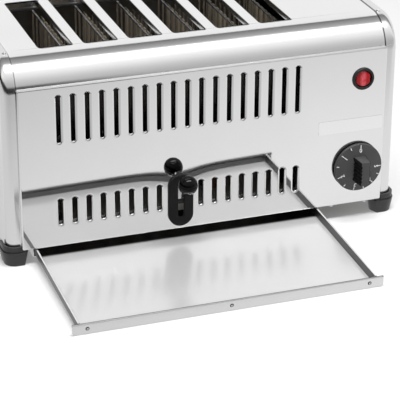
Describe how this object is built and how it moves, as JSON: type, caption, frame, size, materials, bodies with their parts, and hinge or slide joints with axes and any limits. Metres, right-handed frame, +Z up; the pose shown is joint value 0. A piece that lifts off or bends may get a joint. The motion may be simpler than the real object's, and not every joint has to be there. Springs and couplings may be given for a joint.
{
  "type": "commercial pop-up toaster",
  "caption": "Long stainless pop-up toaster with toast slots, vented front, lever with ball knob, timer dial, rocker switch and a crumb tray pulled out at the front.",
  "frame": {"origin": "on the table, under the middle of the box round the whole part at rest, tray pulled out", "axes": "+X to the right as seen from the front, +Y to the back, +Z up"},
  "size_m": [0.434, 0.3906, 0.2198],
  "materials": {
    "polished_sheet": "polished stainless sheet",
    "drawn_cap": "satin stainless, deep drawn",
    "tray_sheet": "mill finish stainless",
    "inner_steel": "heat-dulled steel",
    "bright_steel": "plated steel",
    "mica": "mica sheet",
    "black_plastic": "fine grained",
    "black_gloss": "glossy",
    "red_lens": "translucent red",
    "coil": "varnished winding",
    "pale_plastic": "moulded"
  },
  "bodies": {
    "chassis": {"base_plate": "inner_steel", "front_panel": "polished_sheet", "rear_panel": "polished_sheet", "top_cover": "polished_sheet", "left_end_cap": "drawn_cap", "right_end_cap": "drawn_cap", "front_left_foot": "black_plastic", "front_right_foot": "black_plastic", "rear_left_foot": "black_plastic", "rear_right_foot": "black_plastic", "lever_plate": "black_gloss", "left_chamber_wall": "inner_steel", "right_chamber_wall": "inner_steel", "front_chamber_wall": "inner_steel", "rear_chamber_wall": "inner_steel", "heating_card_1": "mica", "heating_card_2": "mica", "heating_card_3": "mica", "heating_card_4": "mica", "heating_card_5": "mica", "heating_card_6": "mica", "heating_card_7": "mica", "bread_guard_1": "inner_steel", "bread_guard_2": "inner_steel", "bread_guard_3": "inner_steel", "bread_guard_4": "inner_steel", "bread_guard_5": "inner_steel", "bread_guard_6": "inner_steel", "left_tray_runner": "inner_steel", "right_tray_runner": "inner_steel", "left_guide_rod": "bright_steel", "right_guide_rod": "bright_steel", "left_spring": "bright_steel", "right_spring": "bright_steel", "hold_magnet": "coil", "timer_case": "pale_plastic", "switch_housing": "black_plastic", "terminal_block": "pale_plastic", "cable_gland": "black_plastic", "gland_nut": "black_plastic", "panel_screws": "bright_steel", "cap_screws": "bright_steel"},
    "carriage": {"lever_arm": "inner_steel", "ball_knob": "black_gloss", "carriage_plate": "inner_steel", "armature": "bright_steel", "bread_rack_1": "inner_steel", "bread_rack_2": "inner_steel", "bread_rack_3": "inner_steel", "bread_rack_4": "inner_steel", "bread_rack_5": "inner_steel", "bread_rack_6": "inner_steel"},
    "dial": {"timer_shaft": "bright_steel", "timer_dial": "black_gloss"},
    "rocker": {"switch_rocker": "red_lens"},
    "tray": {"crumb_tray": "tray_sheet", "tray_front": "tray_sheet", "tray_rivets": "bright_steel"}
  },
  "joints": [
    {"name": "lever_press", "type": "slide", "parent": "chassis", "child": "carriage", "axis": [0, 0, -1], "range_m": [0, 0.0317], "stiffness_N_per_m": 300, "springref_m": -0.04, "deforming": ["left_spring", "right_spring"]},
    {"name": "timer_turn", "type": "hinge", "parent": "chassis", "child": "dial", "pos_m": [0.1683, -0.03775, 0.0603], "axis": [0, 1, 0], "range_deg": [0, 275]},
    {"name": "rocker_tilt", "type": "hinge", "parent": "chassis", "child": "rocker", "pos_m": [0.1714, -0.03625, 0.159], "axis": [0, 0, 1], "range_deg": [0, 18]},
    {"name": "tray_slide", "type": "slide", "parent": "chassis", "child": "tray", "axis": [0, 0.9996, 0.0299], "range_m": [0, 0.156]}
  ]
}
